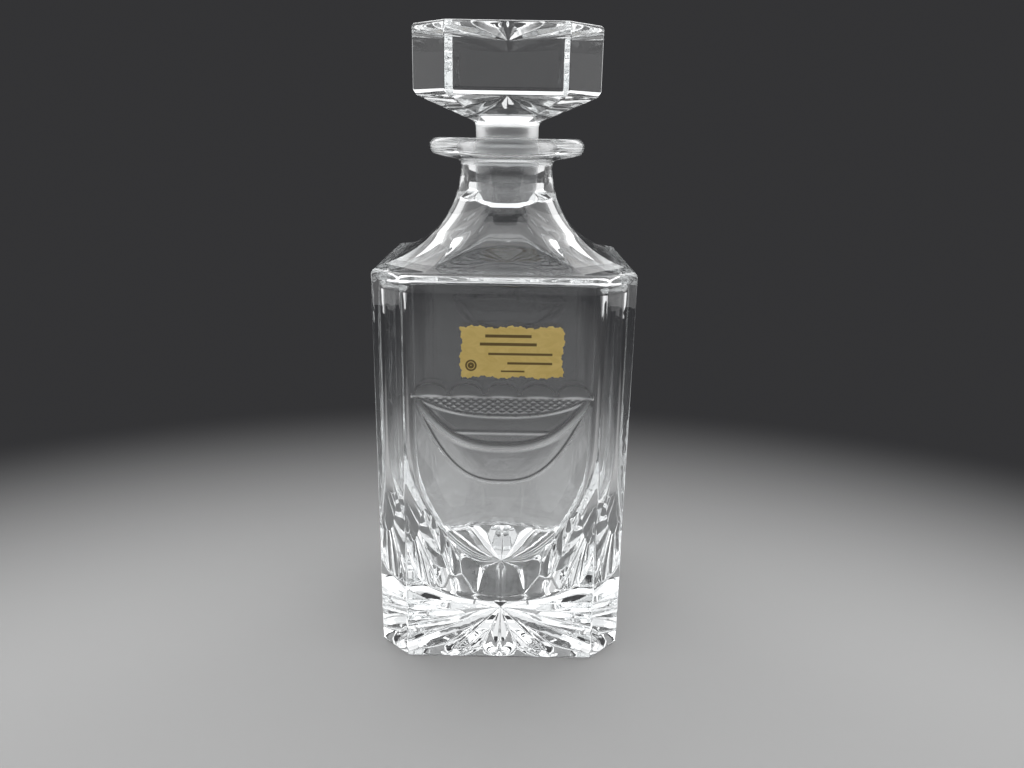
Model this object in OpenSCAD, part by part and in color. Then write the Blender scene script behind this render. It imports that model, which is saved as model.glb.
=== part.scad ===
// Square cut crystal decanter with a ground, lift-out stopper.
// Origin: middle of the underside. +Z up, front face towards -Y. Millimetres.

/* [Body] */
// Width across two opposite flat faces
body_w = 90; // [86:0.5:94]
// Width of each flat face between the cut corners
face_w = 68; // [64:0.5:72]
// Height of the square body up to the start of the shoulder
body_h = 143.3; // [135:0.1:150]
// Thickness of the side walls
wall_t = 5; // [4:0.1:6]
// Thickness of the glass in the shoulder
shoulder_t = 3.8; // [3.5:0.1:5]
// Thickness of the solid base at its middle
base_t = 18; // [14:0.5:20]

/* [Shoulder and neck] */
// Rise of the concave shoulder from the body up to the neck's waist
sweep_rise = 33; // [31:0.1:36]
// Radius of the round neck at its waist
neck_r = 16.6; // [15.8:0.1:18]
// Distance from the axis at which the swept corner facets would reach the waist
corner_waist_r = 21.3; // [20:0.1:23]
// Radius of the sweep that rounds the facets off into the neck
round_sweep_r = 25.7; // [24:0.1:28]
// Outer radius of the lip
lip_r = 28; // [25:0.1:30]
// Thickness of the lip, which has a fully rounded edge
lip_t = 6; // [5:0.1:7]
// Height of the top of the lip above the neck's waist
lip_rise = 9.7; // [9.5:0.1:12]
// Radius of the cove under the lip
cove_r = 2.4; // [1.5:0.1:3]

/* [Ground joint] */
// Radius of the ground bore at the top of the lip
bore_r = 11.9; // [11.5:0.1:12.5]
// Length of the ground, tapered part of the bore
bore_len = 20; // [16:0.5:22]
// How much the bore's radius narrows over its length
bore_taper = 0.6; // [0.3:0.1:0.9]
// Clearance all round between plug and bore
joint_gap = 0.15; // [0.1:0.05:0.3]

/* [Stopper] */
// Width of the square head across its flat sides
head_w = 62.5; // [58:0.5:66]
// Width of each flat side of the head between the cut corners
head_face_w = 40; // [36:0.5:46]
// Height of the head's upright sides
head_h = 20.3; // [16:0.1:26]
// Height of the tapered underside between the shank and the head
under_h = 10.1; // [8:0.1:13]
// Length of shank that stands between the lip and the underside
shank_h = 5; // [4.5:0.1:8]
// Depth of the plug's tip below the top of the lip
plug_len = 24.5; // [22:0.1:28]
// Height of the bevel round the plug's tip
tip_bevel_h = 2.5; // [1:0.1:4]
// Radius of the flat at the plug's tip
tip_r = 9; // [7:0.1:9.5]

/* [Star cuts] */
// Number of cuts in each star
star_rays = 16; // [8:2:20]
// Depth of the base star at its middle
base_star_depth = 5; // [3:0.1:6]
// Depth of the head star at its middle
head_star_depth = 4; // [2:0.1:6]
// Steepness of the two sides of each cut, as rise over run
cut_slope = 0.5; // [0.4:0.05:0.8]

/* [Label] */
// Width of the foil label
label_w = 35.4; // [20:0.2:44]
// Height of the foil label
label_h = 18.6; // [10:0.2:30]
// Thickness of the foil label
label_t = 0.1; // [0.1:0.05:0.2]
// Height of the label's middle above the underside
label_z = 118; // [90:1:125]
// Sideways offset of the label's middle from the middle of the front face
label_x = 3; // [-8:0.5:8]

/* [Hidden] */
$fn = 96;

crystal = [0.86, 0.92, 0.95, 0.55];
foil_gold = [0.80, 0.66, 0.30];

waist_z = body_h + sweep_rise;
lip_z = waist_z + lip_rise;
half_w = body_w / 2;
half_corner = (body_w + face_w) / 2 / sqrt(2);
// the hollow's taper: taper_r wide from taper_z upwards, and narrower towards the floor
taper_r = 51;
taper_z = 68;
taper_slope = 0.36;
floor_fillet = 4;
// the flat land left round the base star, and the margin round the head star
base_margin = 1;
head_margin = 2;
bore_tip_r = bore_r - bore_taper;
shank_r = bore_r - joint_gap - 0.5;
under_z = lip_z + shank_h;
head_z = under_z + under_h;
top_z = head_z + head_h;
half_head = head_w / 2;
half_head_corner = (head_w + head_face_w) / 2 / sqrt(2);
shank_cove_r = 3;
// how far the cove's top reaches above the bottom of the underside
shank_cove_rise = 1.6;
// the small bevel between the head's sides and its underside
edge_bevel_w = 1;
edge_bevel_h = 1.8;

// Radius of an arc that meets the waist level upright and drops by sweep_rise over run
function sweep_radius(run) = (run * run + sweep_rise * sweep_rise) / (2 * run);

// Square with its corners cut at 45 degrees, both sets of sides given from the axis
module cut_square(half, half_diagonal) {
    intersection() {
        square(2 * half, center = true);
        rotate(45) square(2 * half_diagonal, center = true);
    }
}

// Slab with two opposite sides upright and then swept inwards, seen along Y
module swept_slab(half, waist, side_inset, sweep_inset) {
    arc_r = sweep_radius(half - waist);
    rotate([90, 0, 0])
        linear_extrude(4 * half_w, center = true)
            difference() {
                translate([-(half - side_inset), 0])
                    square([2 * (half - side_inset), waist_z]);
                for (side = [-1, 1])
                    translate([side * (waist + arc_r), waist_z]) circle(arc_r + sweep_inset);
            }
}

// Round form that takes the shoulder's facets off into the neck
module round_sweep(inset) {
    rotate_extrude()
        difference() {
            square([half_w * 1.5, waist_z]);
            translate([neck_r + round_sweep_r, waist_z]) circle(round_sweep_r + inset);
        }
}

// Body and shoulder up to the waist, with the sides and the shoulder moved inwards
module column(side_inset, sweep_inset) {
    intersection() {
        linear_extrude(waist_z) cut_square(half_w - side_inset, half_corner - side_inset);
        for_each_side() swept_slab(half_w, neck_r, side_inset, sweep_inset);
        rotate(45) for_each_side() swept_slab(half_corner, corner_waist_r, side_inset, sweep_inset);
        round_sweep(sweep_inset);
    }
}

// The slab as given and turned a quarter, where both overlap
module for_each_side() {
    intersection() {
        children();
        rotate(90) children();
    }
}

// Lip with its rounded edge, and the cove under it
module lip() {
    edge_r = lip_t / 2;
    rotate_extrude() {
        translate([lip_r - edge_r, lip_z - edge_r]) circle(edge_r);
        difference() {
            polygon([[0, waist_z - 0.5], [neck_r, waist_z - 0.5], [neck_r, waist_z],
                     [neck_r + cove_r, waist_z], [neck_r + cove_r, waist_z + cove_r],
                     [lip_r - edge_r, lip_z - lip_t], [lip_r - edge_r, lip_z], [0, lip_z]]);
            translate([neck_r + cove_r, waist_z]) circle(cove_r);
        }
    }
}

// Round form that narrows the hollow towards its flat floor
module hollow_taper() {
    lean = atan(taper_slope);
    floor_r = taper_r - taper_slope * (taper_z - base_t);
    fillet_x = floor_r + taper_slope * floor_fillet - floor_fillet / cos(lean);
    fillet_z = base_t + floor_fillet;
    rotate_extrude() {
        translate([0, base_t]) square([fillet_x, floor_fillet]);
        translate([fillet_x, fillet_z]) circle(floor_fillet);
        polygon([[0, fillet_z], [fillet_x, fillet_z],
                 [fillet_x + floor_fillet * cos(lean), fillet_z - floor_fillet * sin(lean)],
                 [taper_r, taper_z], [taper_r, waist_z], [0, waist_z]]);
    }
}

// Tapered ground bore, open at the lip
module bore() {
    translate([0, 0, lip_z - bore_len])
        cylinder(h = bore_len + 0.01, r1 = bore_tip_r, r2 = bore_r);
}

// One V cut along +X, deepest over the axis and running out at reach
module ray(reach, depth) {
    half = 3 * depth;
    translate([0, 0, depth])
        rotate([0, atan(depth / reach), 0])
            rotate([90, 0, 90])
                linear_extrude(reach + depth)
                    polygon([[-half, -half * cut_slope], [half, -half * cut_slope], [0, 0]]);
}

// Star of cuts whose rays end at a margin inside a cut-cornered square
module star(half, half_diagonal, depth) {
    for (i = [0 : star_rays - 1]) {
        turn = 360 * i / star_rays;
        to_side = half / max(abs(cos(turn)), abs(sin(turn)));
        to_corner = half_diagonal / max(abs(cos(turn - 45)), abs(sin(turn - 45)));
        rotate(turn) ray(min(to_side, to_corner), depth);
    }
}

module decanter_body() {
    color(crystal)
        difference() {
            union() {
                column(0, 0);
                lip();
            }
            intersection() {
                column(wall_t, shoulder_t);
                hollow_taper();
            }
            bore();
            star(half_w - base_margin, half_corner - base_margin, base_star_depth);
        }
}

// Side view of the head: upright sides on a taper that comes down to the shank
module head_slab(half) {
    rotate([90, 0, 0])
        linear_extrude(4 * half_head, center = true)
            for (side = [0, 1])
                mirror([side, 0])
                    polygon([[0, under_z], [shank_r - 1, under_z],
                             [half - edge_bevel_w, head_z - edge_bevel_h],
                             [half, head_z], [half, top_z], [0, top_z]]);
}

module head() {
    difference() {
        intersection() {
            linear_extrude(top_z) cut_square(half_head, half_head_corner);
            for_each_side() head_slab(half_head);
            rotate(45) for_each_side() head_slab(half_head_corner);
        }
        translate([0, 0, top_z])
            mirror([0, 0, 1])
                star(half_head - head_margin, half_head_corner - head_margin, head_star_depth);
    }
}

// Shank with the cove that leads into the head's underside
module shank() {
    cove_x = shank_r + shank_cove_r;
    cove_z = under_z + shank_cove_rise - shank_cove_r;
    rotate_extrude() {
        translate([0, lip_z]) square([shank_r, head_z - lip_z]);
        difference() {
            translate([0, cove_z]) square([cove_x, shank_cove_r]);
            translate([cove_x, cove_z]) circle(shank_cove_r);
        }
    }
}

// Tapered plug that seats in the bore, with a bevelled tip
module plug() {
    tip_z = lip_z - plug_len;
    bevel_z = tip_z + tip_bevel_h;
    end_r = bore_tip_r - joint_gap;
    rotate_extrude()
        polygon([[0, tip_z], [tip_r, tip_z], [end_r, bevel_z], [end_r, lip_z - bore_len],
                 [bore_r - joint_gap, lip_z - 1], [shank_r, lip_z], [0, lip_z]]);
}

module stopper() {
    color(crystal) {
        head();
        shank();
        plug();
    }
}

module label() {
    color(foil_gold)
        translate([label_x - label_w / 2, -half_w - label_t, label_z - label_h / 2])
            cube([label_w, label_t, label_h]);
}

decanter_body();
stopper();
label();
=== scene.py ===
import math

import bmesh
import bpy
import numpy as np
from mathutils import Matrix, Vector


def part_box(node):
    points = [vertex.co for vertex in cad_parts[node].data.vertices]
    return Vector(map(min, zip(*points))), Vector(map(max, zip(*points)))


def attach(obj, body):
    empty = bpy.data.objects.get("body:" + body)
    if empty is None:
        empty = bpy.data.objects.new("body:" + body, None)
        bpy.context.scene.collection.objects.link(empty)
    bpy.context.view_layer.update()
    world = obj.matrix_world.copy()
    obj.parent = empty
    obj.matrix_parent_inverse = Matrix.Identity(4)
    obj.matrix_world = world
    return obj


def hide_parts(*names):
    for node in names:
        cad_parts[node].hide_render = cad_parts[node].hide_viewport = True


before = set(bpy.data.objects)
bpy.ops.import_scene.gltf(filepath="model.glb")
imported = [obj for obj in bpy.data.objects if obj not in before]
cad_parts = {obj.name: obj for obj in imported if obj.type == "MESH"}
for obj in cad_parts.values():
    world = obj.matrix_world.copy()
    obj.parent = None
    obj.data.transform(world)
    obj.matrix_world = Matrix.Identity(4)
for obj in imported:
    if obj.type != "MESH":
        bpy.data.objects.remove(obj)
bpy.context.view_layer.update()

# A cut crystal decanter with a lift-out stopper and a foil label.
# Its sizes are in millimetres, and turned into metres where a mesh or a material takes them.
# Camera, floor and lamps are in metres.
MM = 0.001

# The outer sizes come from the CAD frame.
body_low, body_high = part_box("decanter_body")
stopper_low, stopper_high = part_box("stopper")
label_low, label_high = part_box("label")
half_w = body_high.x / MM
lip_z = body_high.z / MM
tip_z = stopper_low.z / MM
half_head = stopper_high.x / MM
top_z = stopper_high.z / MM

# Body, shoulder and neck. Distances to the cut corners are measured from the axis.
half_face = 34.0
corner_d = (half_w + half_face) / math.sqrt(2)
body_h = 143.3
waist_z = body_h + 33.0
neck_r = 16.6
corner_waist_r = 21.3
round_sweep_r = 25.7
lip_r = 28.0
lip_t = 6.0
base_edge = 0.8
shoulder_edge = 2.0

# Hollow: a square with round corners, cut by a taper that makes it round towards its floor
wall_t = 5.0
shoulder_t = 3.8
base_t = 18.0
hollow_corner_r = 10.0
ceiling_edge = 1.5
taper_r = 51.0
taper_z = 68.0
taper_slope = 0.36
taper_bend = 5.0
floor_fillet = 4.0

# Ground joint
bore_r = 11.9
bore_tip_r = 11.3
bore_len = 20.0
joint_gap = 0.15

# Stopper
half_head_face = 20.0
head_corner_d = (half_head + half_head_face) / math.sqrt(2)
head_z = top_z - 20.3
under_z = lip_z + 5.0
under_bevel_h = 1.8
shank_r = bore_r - joint_gap - 0.5
shank_cove = 3.2
shank_cove_rise = 1.6
tip_r = 9.0
tip_bevel_h = 2.5
head_edge = 1.6
head_rim = 1.4

# Stars: each ray is a wide shallow V with a narrower, deeper one along its middle.
# A star's depths are at its middle and at the ends of its rays.
rays = 16
base_star_depths = (5.0, 2.2)
head_star_depths = (4.2, 1.4)
wide_slope = 0.30
narrow_slope = 0.62
wide_part = 0.72
valley_soft = 0.07

# The swag cut by hand into the front face. A cut's shape is (half width, depth), and an arc has its
# lowest height before them.
swag_top = 102.5
swag_half = 30.3
swag_power = 2.6
line_shape = (0.9, 0.34)
arcs = ((71.3, 0.9, 0.24), (84.3, 2.0, 0.42), (95.5, 0.8, 0.24))
bar_z = 89.6
bar_half = 19.0
bar_shape = (0.8, 0.22)
run_out = 3.0
scallops = 5
scallop_h = 3.8
scallop_base = 0.8
scallop_depth = 0.50
hatch_low = 96.2
hatch_step = 3.0
hatch_lean = 1.6
hatch_shape = (0.55, 0.18)

# The part of the front face that is divided finely for the swag
patch_half = half_face - 0.7
patch_low = 67.0
patch_high = 110.0

# How crisp the creases between facets are; a lower number rounds them more
crisp = 400
crisp_at_neck = 150
crisp_under_head = 90
crisp_ray_end = 200
crisp_hollow = 150.0

# Degrees between the points of a ring, on either side of a cut corner where they are crowded, and of
# the range in which the crowded points follow the corner
wide_step = 1.5
fine_step = 0.24
crowded = 1.2
corner_least = 30
corner_most = 42


# ---------------------------------------------------------------- rings of points

def face_angles(corner):
    """Degrees across one face, -45 to 45, with a point on every crease and many round the cut corner."""
    near = (corner - crowded, corner + crowded)
    knots = sorted([*np.linspace(0, 45, rays // 4 + 1), *near])
    half = [0.0]
    for a, b in zip(knots, knots[1:]):
        step = fine_step if near[0] - 0.01 < a < near[1] - 0.01 else wide_step
        count = max(1, math.ceil((b - a) / step))
        half += list(np.linspace(a, b, count + 1)[1:])
    half = np.array(half)
    return np.concatenate([-half[::-1], half[1:]])


class Spin:
    """The angles round the axis on which every ring of one lathe mesh has its points."""

    def __init__(self, half_side, half):
        self.corner = math.degrees(math.atan(half_side / half))
        local = face_angles(self.corner)[:-1]
        self.local = np.tile(local, 4)
        self.middle = np.repeat([-90.0, 0.0, 90.0, 180.0], len(local))

    def angles(self, corner=None):
        """Radians, with the crowded stretch moved to where this ring's cut corner lies."""
        if corner is None:
            return np.radians(self.middle + self.local)
        old = [0, self.corner - crowded, self.corner + crowded, 45]
        new = [0, corner - crowded, corner + crowded, 45]
        moved = np.sign(self.local) * np.interp(abs(self.local), old, new)
        return np.radians(self.middle + moved)


def facet_r(theta, flat, diagonal, sharp, limit=None):
    """Radius of a cut-cornered square with softened corners, or of a circle where that is less."""
    total = 0
    for k in range(8):
        across = flat if k % 2 == 0 else diagonal
        total = total + np.clip(np.cos(theta - k * math.pi / 4) * flat / across, 0, None) ** sharp
    if limit is not None:
        total = total + (flat / limit) ** sharp
    return flat * total ** (-1 / sharp)


def rounded_square_r(theta, half, corner):
    """Radius of a square with round corners, which is a circle when corner equals half."""
    c, s = np.abs(np.cos(theta)), np.abs(np.sin(theta))
    c, s = np.maximum(c, s), np.minimum(c, s)
    mid = half - corner
    on_arc = mid * (c + s) + np.sqrt(np.clip(corner ** 2 - mid ** 2 * (c - s) ** 2, 0, None))
    return np.where(half * s / c > mid, on_arc, half / c)


def points(theta, r, z):
    return np.stack([r * np.cos(theta), r * np.sin(theta), np.broadcast_to(z, theta.shape)], 1)


def facet_ring(spin, flat, diagonal, z, sharp=crisp, limit=None):
    corner = math.degrees(math.atan(diagonal * math.sqrt(2) / flat - 1))
    theta = spin.angles(min(max(corner, corner_least), corner_most))
    return points(theta, facet_r(theta, flat, diagonal, sharp, limit), z)


def round_rings(spin, profile):
    theta = spin.angles()
    return [points(theta, np.full(theta.shape, r), z) for r, z in profile]


def hollow_ring(spin, half, corner, z):
    theta = spin.angles()
    return points(theta, rounded_square_r(theta, half, min(corner, half)), z)


def arc(x, z, r, start, end, count):
    """Points on an arc, in degrees from +r towards +z."""
    turn = np.radians(np.linspace(start, end, count))
    return list(zip(x + r * np.cos(turn), z + r * np.sin(turn)))


def bend(a, corner, b, count):
    """Points on a soft bend from a to b, pulled towards the corner, without its two ends."""
    t = np.linspace(0, 1, count + 2)[1:-1, None]
    a, corner, b = (np.array(p, float) for p in (a, corner, b))
    return list((1 - t) ** 2 * a + 2 * t * (1 - t) * corner + t ** 2 * b)


def lathe(name, rings):
    """A closed mesh through rings of equally many points, with one point over the axis at each end."""
    grid = np.array(rings)
    rows, around = grid.shape[:2]
    first_end = [[0, 0, grid[0, :, 2].mean()]]
    last_end = [[0, 0, grid[-1, :, 2].mean()]]
    verts = np.concatenate([first_end, grid.reshape(-1, 3), last_end]) * MM
    here = np.arange(around)
    after = np.roll(here, -1)
    row = 1 + around * np.arange(rows - 1)[:, None]
    quads = np.stack([row + here, row + after, row + around + after, row + around + here], 2)
    last = 1 + around * (rows - 1)
    first_cap = np.stack([np.zeros_like(here), 1 + after, 1 + here], 1)
    last_cap = np.stack([np.full_like(here, len(verts) - 1), last + here, last + after], 1)
    faces = quads.reshape(-1, 4).tolist() + first_cap.tolist() + last_cap.tolist()
    mesh = bpy.data.meshes.new(name)
    mesh.from_pydata(verts.tolist(), [], faces)
    mesh.polygons.foreach_set("use_smooth", [True] * len(mesh.polygons))
    return mesh


def put(name, mesh, material, body, cad_node):
    """Makes a mesh into a piece that stands for a CAD node and rides on its body."""
    obj = bpy.data.objects.new(name, mesh)
    bpy.context.scene.collection.objects.link(obj)
    mesh.materials.append(material)
    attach(obj, body)
    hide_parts(cad_node)
    return obj


# ---------------------------------------------------------------- star cuts

def star_depth(x, y, flat, diagonal, depths):
    """Depth of the star at a point: V cuts that run out, round-ended, at a cut-cornered square's edge."""
    r = np.hypot(x, y)
    theta = np.arctan2(y, x)
    turn = 2 * math.pi / rays
    ray = np.round(theta / turn) * turn
    along = r * np.cos(theta - ray)
    aside = r * np.abs(np.sin(theta - ray))
    t = np.clip(along / facet_r(ray, flat, diagonal, crisp_ray_end), 0, 1)
    middle, end = depths
    keel = (middle + (end - middle) * t) * np.sqrt(1 - t ** 8)
    depth = np.maximum(keel - narrow_slope * aside, keel * wide_part - wide_slope * aside)
    return valley_soft * np.logaddexp(0, depth / valley_soft)


def star_rings(spin, flat, diagonal, z, sign, depths, count):
    """Rings from the axis out to the edge of the star, whose depth is always 0 on the last ring.

    sign is +1 for cuts that go up from z, and -1 for cuts that go down.
    """
    theta = spin.angles()
    edge = facet_r(theta, flat, diagonal, crisp)
    rings = []
    for t in np.linspace(0, 1, count + 1)[1:]:
        r = t * edge
        depth = star_depth(r * np.cos(theta), r * np.sin(theta), flat, diagonal, depths) * (t < 1)
        rings.append(points(theta, r, z + sign * depth))
    return rings


# ---------------------------------------------------------------- cuts on the front face

def groove(distance, half_width, depth):
    """A rounded V groove."""
    return depth * np.clip(1 - (distance / half_width) ** 2, 0, None) ** 1.5


def hang(x, bottom):
    """Height and slope at x of an arc that hangs from the two ends of the swag's line."""
    reach = np.abs(x / swag_half)
    drop = swag_top - bottom
    height = bottom + drop * reach ** swag_power
    slope = swag_power * drop / swag_half * reach ** (swag_power - 1)
    return height, slope


def fade_out(x, half):
    """1 along most of a cut, and down to 0 where it runs out at its two ends."""
    return np.clip((half - abs(x)) / run_out, 0, 1)


def scallop_cut(x, z):
    """A row of shallow dishes that stand on the swag's line."""
    width = 2 * swag_half / scallops
    middle = (np.floor((x + swag_half) / width) + 0.5) * width - swag_half
    across = (x - middle) / (width / 2)
    up = np.clip(z - swag_top - scallop_base, 0, None) / scallop_h
    dish = np.clip(1 - across ** 2 - up ** 2, 0, 1) ** 0.6
    return scallop_depth * dish * (z > swag_top) * (abs(x) < swag_half)


def arc_cut(x, z, bottom, half_width, depth):
    height, slope = hang(x, bottom)
    distance = (z - height) / np.sqrt(1 + slope ** 2)
    return groove(distance, half_width, depth) * fade_out(x, swag_half + 0.5)


def hatch_cut(x, z, side):
    """Fine cuts between the line and the top arc that lean to one side, -1 or 1."""
    inside = (z < swag_top - 0.6) & (z > hang(x, hatch_low)[0] + 0.3)
    phase = ((x + side * hatch_lean * z) / hatch_step) % 1
    distance = (phase - 0.5) * hatch_step / math.hypot(1, hatch_lean)
    return groove(distance, *hatch_shape) * inside


def front_cut(x, z):
    """Depth of the whole swag: its line, a short bar, scallops, hanging arcs and cross-hatching."""
    line = groove(z - swag_top, *line_shape) * (abs(x) < swag_half + 0.5)
    bar = groove(z - bar_z, *bar_shape) * fade_out(x, bar_half)
    hanging = [arc_cut(x, z, *shape) for shape in arcs]
    hatching = [hatch_cut(x, z, side) for side in (-1, 1)]
    return np.max([line, bar, scallop_cut(x, z), *hanging, *hatching], axis=0)


def cut_front(mesh):
    """Divides the front face finely where it is decorated, presses the cuts in, and marks them as matt."""
    bm = bmesh.new()
    bm.from_mesh(mesh)
    matt = bm.verts.layers.float.new("matt")

    def in_patch(v):
        x, y, z = v.co / MM
        return y < 0.02 - half_w and abs(x) < patch_half and patch_low < z < patch_high

    patch = [f for f in bm.faces if all(in_patch(v) for v in f.verts)]
    edges = list(dict.fromkeys(e for f in patch for e in f.edges))
    bmesh.ops.subdivide_edges(bm, edges=edges, cuts=6, use_grid_fill=True)
    chosen = [v for v in bm.verts if in_patch(v)]
    x = np.array([v.co.x for v in chosen]) / MM
    z = np.array([v.co.z for v in chosen]) / MM
    for v, depth in zip(chosen, front_cut(x, z)):
        v.co.y += depth * MM
        v[matt] = depth
    for f in bm.faces:
        f.smooth = True
    bm.to_mesh(mesh)
    bm.free()


# ---------------------------------------------------------------- bottle

def sweep_radius(run):
    """Radius of an arc that is upright at the waist and runs outwards by run down to the body."""
    rise = waist_z - body_h
    return (run ** 2 + rise ** 2) / (2 * run)


def sweep(half, waist, z, inset=0.0):
    """Distance of the concave shoulder from the axis at height z."""
    r = sweep_radius(half - waist)
    return waist + r - math.sqrt(max((r + inset) ** 2 - (waist_z - z) ** 2, 0))


def round_limit(z):
    """Radius at which the shoulder's facets are rounded off on their way to the neck."""
    drop = waist_z - z
    if drop > round_sweep_r:
        return 4 * half_w
    return neck_r + round_sweep_r - math.sqrt(round_sweep_r ** 2 - drop ** 2)


def shoulder_levels(inset, low_flat, high_z, count):
    """Heights up the shoulder, crowded where it is nearly level."""
    r = sweep_radius(half_w - neck_r)
    start = math.acos((neck_r + r - low_flat) / (r + inset))
    end = math.asin((waist_z - high_z) / (r + inset))
    return [waist_z - (r + inset) * math.sin(a) for a in np.linspace(start, end, count)]


def lip_profile():
    """Up from the waist through the cove, round the lip's edge, and down the ground bore."""
    rim = lip_t / 2
    mouth = 1.4
    cove_end = (neck_r + 1.6, waist_z + 2.4)
    lip_start = (lip_r - 1.5, lip_z - lip_t + 0.5)
    profile = bend((neck_r, waist_z), (neck_r, waist_z + 2.1), cove_end, 5)
    profile += bend(cove_end, (lip_r - 3, lip_z - lip_t - 0.6), lip_start, 8)
    profile += arc(lip_r - rim, lip_z - rim, rim, -60, 90, 18)
    profile += [(r, lip_z) for r in (lip_r - rim - 6, bore_r + 3, bore_r + mouth)]
    profile += bend((bore_r + mouth, lip_z), (bore_r, lip_z), (bore_r, lip_z - mouth), 4)
    narrowing = (bore_r - bore_tip_r) / bore_len
    return profile + [(bore_r - narrowing * d, lip_z - d) for d in (mouth, 5, 10, 15, bore_len - 0.6)]


def outside_rings(spin):
    """From the base star out to the edge, up the sides and shoulder, over the lip and down the bore."""
    rings = star_rings(spin, half_w - base_edge, corner_d - base_edge, 0, 1, base_star_depths, 56)
    for inset, z in bend((base_edge, 0), (0, 0), (0, base_edge), 3) + [(0, base_edge)]:
        rings.append(facet_ring(spin, half_w - inset, corner_d - inset, z))
    side_top = body_h - shoulder_edge
    patch_rows = np.arange(patch_low + 0.5, patch_high, 2.1)
    for z in (1.4, 12, 34, 56, *patch_rows, 118, 130, body_h - 4, side_top):
        rings.append(facet_ring(spin, half_w, corner_d, z))
    shoulder = shoulder_levels(0, half_w - shoulder_edge, waist_z, 34)
    for inset, z in bend((0, side_top), (0, body_h), (shoulder_edge, shoulder[0]), 8):
        rings.append(facet_ring(spin, half_w - inset, corner_d - inset, z))
    for i, z in enumerate(shoulder):
        flat = sweep(half_w, neck_r, z)
        diagonal = sweep(corner_d, corner_waist_r, z)
        sharp = crisp + (crisp_at_neck - crisp) * i / len(shoulder)
        rings.append(facet_ring(spin, flat, diagonal, z, sharp, round_limit(z)))
    return rings + round_rings(spin, lip_profile())


def uneven(theta, z):
    """The slight waves, in millimetres, that blowing leaves on the inside of the glass."""
    total = 0.015 * np.sin(0.16 * z + 2 * np.sin(theta))
    for height, around, twist, start in ((0.09, 3, 0.06, 0), (0.06, 7, -0.03, 1), (0.025, 17, 0.02, 2)):
        total = total + height * np.sin(around * theta + twist * z + start)
    return total


def taper_radius(z):
    """Radius of the taper that rounds off the hollow towards its floor."""
    return taper_r - taper_slope * taper_bend * math.log1p(math.exp((taper_z - z) / taper_bend))


def ceiling_rings(spin, half):
    """The hollow under the shoulder, from a circle at the bore's end to a square at the walls."""
    rings = []
    levels = shoulder_levels(shoulder_t, half - ceiling_edge, lip_z - bore_len - 1.5, 22)[::-1]
    for z in levels:
        flat = sweep(half_w, neck_r, z, shoulder_t)
        squareness = (flat - bore_tip_r) / (half - bore_tip_r)
        corner = flat * (1 - squareness * (1 - hollow_corner_r / half))
        rings.append(hollow_ring(spin, flat, corner, z))
    ceiling = levels[-1]
    wall_top = ceiling - 2
    for inset, z in bend((ceiling_edge, ceiling), (0, ceiling - 0.4), (0, wall_top), 6):
        rings.append(hollow_ring(spin, half - inset, hollow_corner_r, z))
    return rings, wall_top


def hollow_rings(spin):
    """From the bore's end out under the shoulder, down the walls, and in over the floor."""
    half = half_w - wall_t
    rings, wall_top = ceiling_rings(spin, half)
    theta = spin.angles()
    wall = rounded_square_r(theta, half, hollow_corner_r)
    fillet_top = base_t + floor_fillet
    # The waves die out over calm_h above the floor, and wave_room keeps them clear of the CAD's wall.
    calm_h, wave_room = 8, 0.2
    heights = list(np.linspace(wall_top, fillet_top + 1, 54))
    heights += [base_t + floor_fillet * (1 - math.sin(a)) for a in np.radians(np.linspace(0, 90, 9))]
    for z in heights:
        drop = max(fillet_top - z, 0)
        inset = floor_fillet - math.sqrt(max(floor_fillet ** 2 - drop ** 2, 0))
        r = (wall ** -crisp_hollow + taper_radius(z) ** -crisp_hollow) ** (-1 / crisp_hollow)
        waviness = min(max((z - base_t) / calm_h, 0), 1)
        rings.append(points(theta, r - inset - waviness * (uneven(theta, z) + wave_room), z))
    floor_edge = r - inset
    return rings + [points(theta, floor_edge * t, base_t) for t in (0.8, 0.6, 0.4, 0.2, 0.07)]


def make_bottle(material):
    spin = Spin(half_face, half_w)
    mesh = lathe("bottle", outside_rings(spin) + hollow_rings(spin))
    cut_front(mesh)
    return put("bottle", mesh, material, "bottle", "decanter_body")


# ---------------------------------------------------------------- stopper

def plug_profile():
    """From the axis out over the plug's tip, up its bevel and its taper, and in to the shank."""
    end_r = bore_tip_r - joint_gap
    side_r = bore_r - joint_gap
    bevel_z = tip_z + tip_bevel_h
    lean = (end_r - tip_r) / tip_bevel_h
    low_edge, high_edge = 0.3, 0.4
    profile = [(r, tip_z) for r in (1, 3, 5, 7, 8.2, tip_r - 0.4)]
    bevel_start = (tip_r + low_edge * lean, tip_z + low_edge)
    profile += bend((tip_r - low_edge, tip_z), (tip_r, tip_z), bevel_start, 3)
    profile += [(tip_r + h * lean, tip_z + h) for h in (0.4, 1.2, tip_bevel_h - 0.5)]
    bevel_end = (end_r - high_edge * lean, bevel_z - high_edge)
    profile += bend(bevel_end, (end_r, bevel_z), (end_r, bevel_z + high_edge), 3)
    profile += [(end_r, z) for z in (bevel_z + 0.5, bevel_z + 1.5, lip_z - bore_len)]
    profile += [(side_r, lip_z - 1.6)]
    profile += bend((side_r, lip_z - 1.4), (side_r, lip_z - 1), (shank_r + 0.2, lip_z - 0.4), 3)
    return profile + [(shank_r, lip_z), (shank_r, lip_z + 0.5)]


def under_flat(z):
    """Distance of the head's tapered underside from the axis at height z."""
    low, high = shank_r - 1, half_head - 1
    return low + (high - low) * (z - under_z) / (head_z - under_bevel_h - under_z)


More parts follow.
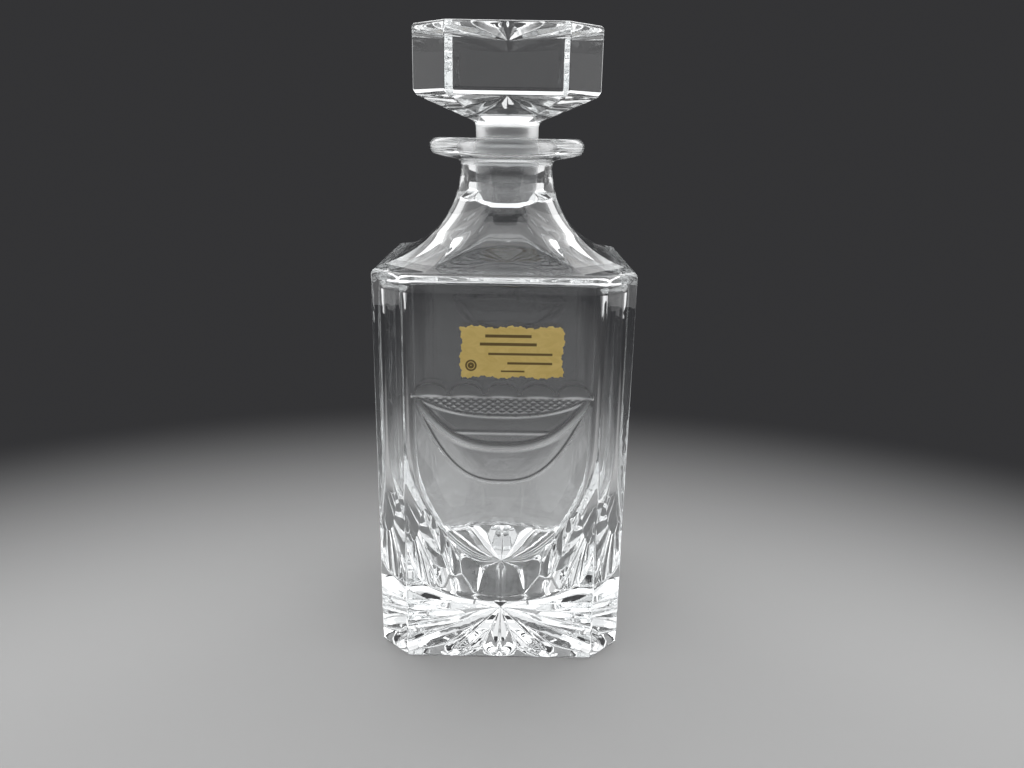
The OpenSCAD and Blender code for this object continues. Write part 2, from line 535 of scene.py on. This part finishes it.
def underside_rings(spin):
    """The shank's cove, blended softly into the faceted underside of the head."""
    theta = spin.angles()
    unit = facet_r(theta, 1, head_corner_d / half_head, crisp_under_head)
    cove_low = under_z + shank_cove_rise - shank_cove
    cove_end = shank_cove - 0.02
    blend = 0.35
    rings = []
    for z in np.linspace(cove_low, head_z - 2.0, 44):
        drop = min(max(z - cove_low, 0), cove_end)
        neck = shank_r + shank_cove - math.sqrt(shank_cove ** 2 - drop ** 2)
        head = unit * max(under_flat(z), 1)
        r = blend * np.logaddexp(neck / blend if drop < cove_end else 0, head / blend)
        rings.append(points(theta, r, z))
    return rings


def head_rings(spin):
    """The head's upright sides between two soft edges, up to the margin of the star."""
    rings = []
    edge_z = top_z - head_edge
    sides = [(0.95, head_z - 1.7), (0.1, head_z - 0.2), (0, head_z + 0.1), (0, head_z + 1),
             (0, top_z - 3), (0, top_z - 2), (0, edge_z)]
    for inset, z in sides + bend((0, edge_z), (0, top_z), (head_rim, top_z), 6):
        rings.append(facet_ring(spin, half_head - inset, head_corner_d - inset, z))
    return rings


def make_stopper(material):
    spin = Spin(half_head_face, half_head)
    star = star_rings(spin, half_head - head_rim, head_corner_d - head_rim, top_z, -1, head_star_depths, 44)
    rings = round_rings(spin, plug_profile()) + underside_rings(spin) + head_rings(spin) + star[::-1]
    mesh = lathe("stopper_glass", rings)
    return put("stopper_glass", mesh, material, "stopper", "stopper")


# ---------------------------------------------------------------- label

def ragged(s):
    """How far, in millimetres, the torn edge of the label stands back at a place along it."""
    return 0.7 + 0.35 * math.sin(0.5 * s) + 0.25 * math.sin(1.9 * s + 1) + 0.15 * math.sin(4.7 * s)


def label_front(columns, rows):
    """Points of the label's front, row by row upwards, with its crinkles and its uneven edge."""
    low, high = label_low / MM, label_high / MM
    middle, half = (low + high) / 2, (high - low) / 2
    crinkle_h = 0.02
    front = []
    for j in range(rows + 1):
        v = 2 * j / rows - 1
        for i in range(columns + 1):
            u = 2 * i / columns - 1
            x = middle.x + u * (half.x - abs(u) ** 8 * ragged(v * half.z + 5 * (u > 0)))
            z = middle.z + v * (half.z - abs(v) ** 8 * ragged(u * half.x + 9 * (v > 0)))
            crinkle = math.sin(0.9 * x + 2 * math.sin(0.7 * z)) * math.sin(1.1 * z)
            front.append((x, low.y + crinkle_h * (1 + crinkle), z))
    return front


def label_faces(columns, rows):
    """Quads of the front and the back, and then those of the edge that joins them."""
    step = columns + 1
    behind = step * (rows + 1)
    starts = [j * step + i for j in range(rows) for i in range(columns)]
    front = [(a, a + 1, a + step + 1, a + step) for a in starts]
    back = [tuple(behind + k for k in reversed(quad)) for quad in front]
    rim = list(range(columns))
    rim += [columns + j * step for j in range(rows)]
    rim += [rows * step + columns - i for i in range(columns)]
    rim += [(rows - j) * step for j in range(rows)]
    edge = [(a, behind + a, behind + b, b) for a, b in zip(rim, rim[1:] + rim[:1])]
    return front + back, edge


def make_label(material):
    """Foil with a slightly torn, deckled edge and fine crinkles, inside its thin CAD solid."""
    columns, rows = 90, 46
    back_y = label_high.y / MM - 0.005
    front = label_front(columns, rows)
    back = [(x, back_y, z) for x, y, z in front]
    smooth, flat = label_faces(columns, rows)
    mesh = bpy.data.meshes.new("foil_label")
    mesh.from_pydata((np.array(front + back) * MM).tolist(), [], smooth + flat)
    mesh.polygons.foreach_set("use_smooth", [True] * len(smooth) + [False] * len(flat))
    return put("foil_label", mesh, material, "bottle", "label")


# ---------------------------------------------------------------- materials

class Graph:
    """A new material's nodes, with short ways to add and join them."""

    def __init__(self, name):
        self.material = bpy.data.materials.new(name)
        self.material.use_nodes = True
        self.nodes = self.material.node_tree.nodes
        self.links = self.material.node_tree.links
        self.shader = self.nodes["Principled BSDF"]
        self.output = self.nodes["Material Output"]

    def add(self, kind, **settings):
        made = self.nodes.new("ShaderNode" + kind)
        for key, value in settings.items():
            setattr(made, key, value)
        return made

    def split(self, place):
        """The x, y and z of a place."""
        made = self.add("SeparateXYZ")
        self.links.new(place, made.inputs[0])
        return made.outputs

    def noise(self, place, scale, detail=3.0):
        made = self.add("TexNoise")
        made.inputs["Scale"].default_value = scale
        made.inputs["Detail"].default_value = detail
        self.links.new(place, made.inputs["Vector"])
        return made.outputs["Fac"]

    def remap(self, value, low, high, to_low, to_high):
        """A value's range from low to high, clamped, as the range from to_low to to_high."""
        made = self.add("MapRange", interpolation_type="SMOOTHSTEP")
        ends = {"From Min": low, "From Max": high, "To Min": to_low, "To Max": to_high}
        for name, number in ends.items():
            made.inputs[name].default_value = number
        self.links.new(value, made.inputs["Value"])
        return made.outputs["Result"]

    def calc(self, operation, a, b=0.0):
        made = self.add("Math", operation=operation)
        for socket, value in zip(made.inputs, (a, b)):
            if isinstance(value, (int, float)):
                socket.default_value = value
            else:
                self.links.new(value, socket)
        return made.outputs["Value"]

    def length(self, a, b):
        """The length of a flat vector."""
        squares = [self.calc("MULTIPLY", value, value) for value in (a, b)]
        return self.calc("SQRT", self.calc("ADD", *squares))

    def stripe(self, value, middle, half_width, edge=0.004):
        """1 on a band of the value round its middle, and 0 outside it."""
        off = self.calc("ABSOLUTE", self.calc("SUBTRACT", value, middle))
        return self.remap(off, half_width, half_width + edge, 1, 0)

    def bump(self, height, strength, distance):
        made = self.add("Bump")
        made.inputs["Strength"].default_value = strength
        made.inputs["Distance"].default_value = distance
        self.links.new(height, made.inputs["Height"])
        self.links.new(made.outputs["Normal"], self.shader.inputs["Normal"])


def crystal_material():
    """Clear lead crystal: faint smears, matt cuts, a satin ground joint, and a trace of colour."""
    g = Graph("lead_crystal")
    g.shader.inputs["Base Color"].default_value = (0.985, 0.992, 0.996, 1)
    g.shader.inputs["IOR"].default_value = 1.545
    g.shader.inputs["Transmission Weight"].default_value = 1.0
    place = g.add("TexCoord").outputs["Object"]
    x, y, z = g.split(place)
    smears = g.remap(g.noise(place, 38), 0.52, 0.78, 0.0, 0.035)
    in_joint = g.remap(g.length(x, y), (bore_r + 0.3) * MM, (bore_r + 0.9) * MM, 1, 0)
    above_plug_end = g.remap(z, (lip_z - 11.5) * MM, (lip_z - 7.5) * MM, 0, 1)
    below_head = g.remap(z, (under_z - 0.5) * MM, (under_z + 0.5) * MM, 1, 0)
    ground = g.calc("MULTIPLY", in_joint, g.calc("MULTIPLY", above_plug_end, below_head))
    satin = g.calc("MULTIPLY", ground, g.remap(g.noise(place, 900), 0.3, 0.7, 0.33, 0.38))
    cut_depth = g.add("Attribute", attribute_name="matt").outputs["Fac"]
    cuts = g.remap(cut_depth, 0.02, 0.25, 0, 0.28)
    g.links.new(g.calc("ADD", g.calc("ADD", smears, satin), cuts), g.shader.inputs["Roughness"])
    g.bump(g.noise(place, 90, 2), 0.05, 0.001)
    tint = g.add("VolumeAbsorption")
    tint.inputs["Color"].default_value = (0.90, 0.96, 0.97, 1)
    tint.inputs["Density"].default_value = 1.5
    g.links.new(tint.outputs["Volume"], g.output.inputs["Volume"])
    return g.material


def foil_print(g, x, y, z):
    """1 where the label's front has ink: plain rules, and a small ring round a spot.

    A rule is (height, start, end, half width) and a ring is (radius, half width), as parts of the label.
    """
    rules = ((0.80, 0.25, 0.68, 0.022), (0.65, 0.20, 0.73, 0.022), (0.47, 0.28, 0.88, 0.016),
             (0.30, 0.46, 0.88, 0.016), (0.15, 0.40, 0.62, 0.010))
    rings = ((0.09, 0.012), (0.035, 0.02))
    ring_x, ring_z, aspect = 0.115, 0.25, 1.95
    marks = []
    for height, start, end, half_width in rules:
        across = g.stripe(z, height, half_width, 0.012)
        along = g.stripe(x, (start + end) / 2, (end - start) / 2)
        marks.append(g.calc("MULTIPLY", across, along))
    dx = g.calc("MULTIPLY", g.calc("SUBTRACT", x, ring_x), aspect)
    away = g.length(dx, g.calc("SUBTRACT", z, ring_z))
    marks += [g.stripe(away, radius, half_width, 0.01) for radius, half_width in rings]
    ink = marks[0]
    for mark in marks[1:]:
        ink = g.calc("MAXIMUM", ink, mark)
    return g.calc("MULTIPLY", ink, g.remap(y, 0.6, 0.8, 1, 0))


def foil_material():
    """Gold foil with a crinkled sheen and a plain generic print."""
    g = Graph("gold_foil")
    place = g.add("TexCoord").outputs["Generated"]
    ink = foil_print(g, *g.split(place))
    shade = g.add("ValToRGB")
    shade.color_ramp.elements[0].color = (0.58, 0.42, 0.12, 1)
    shade.color_ramp.elements[1].color = (0.76, 0.58, 0.22, 1)
    g.links.new(g.noise(place, 5), shade.inputs["Fac"])
    printed = g.add("Mix", data_type="RGBA")
    g.links.new(g.calc("MULTIPLY", ink, 0.85), printed.inputs[0])
    g.links.new(shade.outputs["Color"], printed.inputs[6])
    printed.inputs[7].default_value = (0.05, 0.025, 0.008, 1)
    g.links.new(printed.outputs[2], g.shader.inputs["Base Color"])
    g.shader.inputs["Metallic"].default_value = 0.45
    g.links.new(g.remap(g.noise(place, 14), 0.3, 0.7, 0.34, 0.5), g.shader.inputs["Roughness"])
    g.bump(g.noise(place, 22), 0.35, 0.0002)
    return g.material


# ---------------------------------------------------------------- camera, floor and light

# The dark backdrop's colour; the floor also glows in it far from the decanter, as painted shade.
backdrop = (0.034, 0.034, 0.036, 1)


def floor_material():
    """Pale near the decanter; with distance it is painted darker, into a faint glow of the backdrop's dark
    colour that the lamps don't change: painted shade for the light falling off.
    """
    g = Graph("pale_floor_painted_falloff")
    pale_within, painted_shade_beyond = 0.28, 0.56
    away = g.add("VectorMath", operation="DISTANCE")
    away.inputs[1].default_value = (0, -0.30, 0)
    g.links.new(g.add("TexCoord").outputs["Object"], away.inputs[0])
    g.shader.inputs["Base Color"].default_value = (0.40, 0.40, 0.40, 1)
    g.shader.inputs["Roughness"].default_value = 0.6
    g.shader.inputs["Specular IOR Level"].default_value = 0.2
    # Painted shade: a faint unlit glow in the backdrop's colour that takes over the floor with distance.
    shade = g.add("Emission")
    shade.inputs["Color"].default_value = backdrop
    mix = g.add("MixShader")
    g.links.new(g.remap(away.outputs["Value"], pale_within, painted_shade_beyond, 0, 1), mix.inputs["Fac"])
    g.links.new(g.shader.outputs["BSDF"], mix.inputs[1])
    g.links.new(shade.outputs["Emission"], mix.inputs[2])
    g.links.new(mix.outputs["Shader"], g.output.inputs["Surface"])
    return g.material


def make_camera():
    """The view from in front, level with the lip and tipped down."""
    data = bpy.data.cameras.new("camera")
    cam = bpy.data.objects.new("camera", data)
    bpy.context.scene.collection.objects.link(cam)
    data.sensor_width = 36
    data.lens = 28.45
    cam.location = (0.0032, -0.3049, 0.1869)
    pitch, roll = math.radians(17.07), math.radians(0.94)
    cam.rotation_mode = "XYZ"
    turn = Matrix.Rotation(math.pi / 2 - pitch, 3, "X") @ Matrix.Rotation(roll, 3, "Z")
    cam.rotation_euler = turn.to_euler("XYZ")
    bpy.context.scene.camera = cam


def make_floor():
    """A wide flat floor, a hair under the base so that the two don't share a plane."""
    side = 1.6
    corners = [(-side, -side, 0), (side, -side, 0), (side, side, 0), (-side, side, 0)]
    mesh = bpy.data.meshes.new("floor")
    mesh.from_pydata(corners, [], [(0, 1, 2, 3)])
    mesh.materials.append(floor_material())
    floor = bpy.data.objects.new("floor", mesh)
    floor.location.z = -0.0002
    bpy.context.scene.collection.objects.link(floor)


def make_world():
    world = bpy.data.worlds.new("studio")
    bpy.context.scene.world = world
    world.use_nodes = True
    world.node_tree.nodes["Background"].inputs["Color"].default_value = backdrop


def softbox(name, place, size, power):
    """A large soft lamp that faces the decanter, and that the camera doesn't see."""
    data = bpy.data.lights.new(name, "AREA")
    data.shape = "RECTANGLE"
    data.size, data.size_y = size
    data.energy = power
    lamp = bpy.data.objects.new(name, data)
    bpy.context.scene.collection.objects.link(lamp)
    lamp.location = place
    aim = Vector((0, 0, 0.11)) - lamp.location
    lamp.rotation_mode = "QUATERNION"
    lamp.rotation_quaternion = aim.to_track_quat("-Z", "Y")
    lamp.visible_camera = False


def set_light_paths():
    """Enough bounces for light that is reflected many times inside the crystal."""
    paths = bpy.context.scene.cycles
    paths.max_bounces = 32
    paths.glossy_bounces = 32
    paths.transmission_bounces = 32
    paths.sample_clamp_indirect = 6
    bpy.context.scene.view_settings.view_transform = "Standard"


make_camera()
make_floor()
make_world()
softbox("left_box", (-0.50, 0.04, 0.36), (1.5, 0.8), 3.4)
softbox("right_box", (0.50, 0.04, 0.36), (1.5, 0.8), 3.4)
softbox("top_box", (0, 0.22, 0.80), (1.4, 1.6), 8.8)
softbox("front_box", (0, -0.85, 0.50), (1.6, 0.9), 3.0)
set_light_paths()
crystal = crystal_material()
make_bottle(crystal)
make_stopper(crystal)
make_label(foil_material())
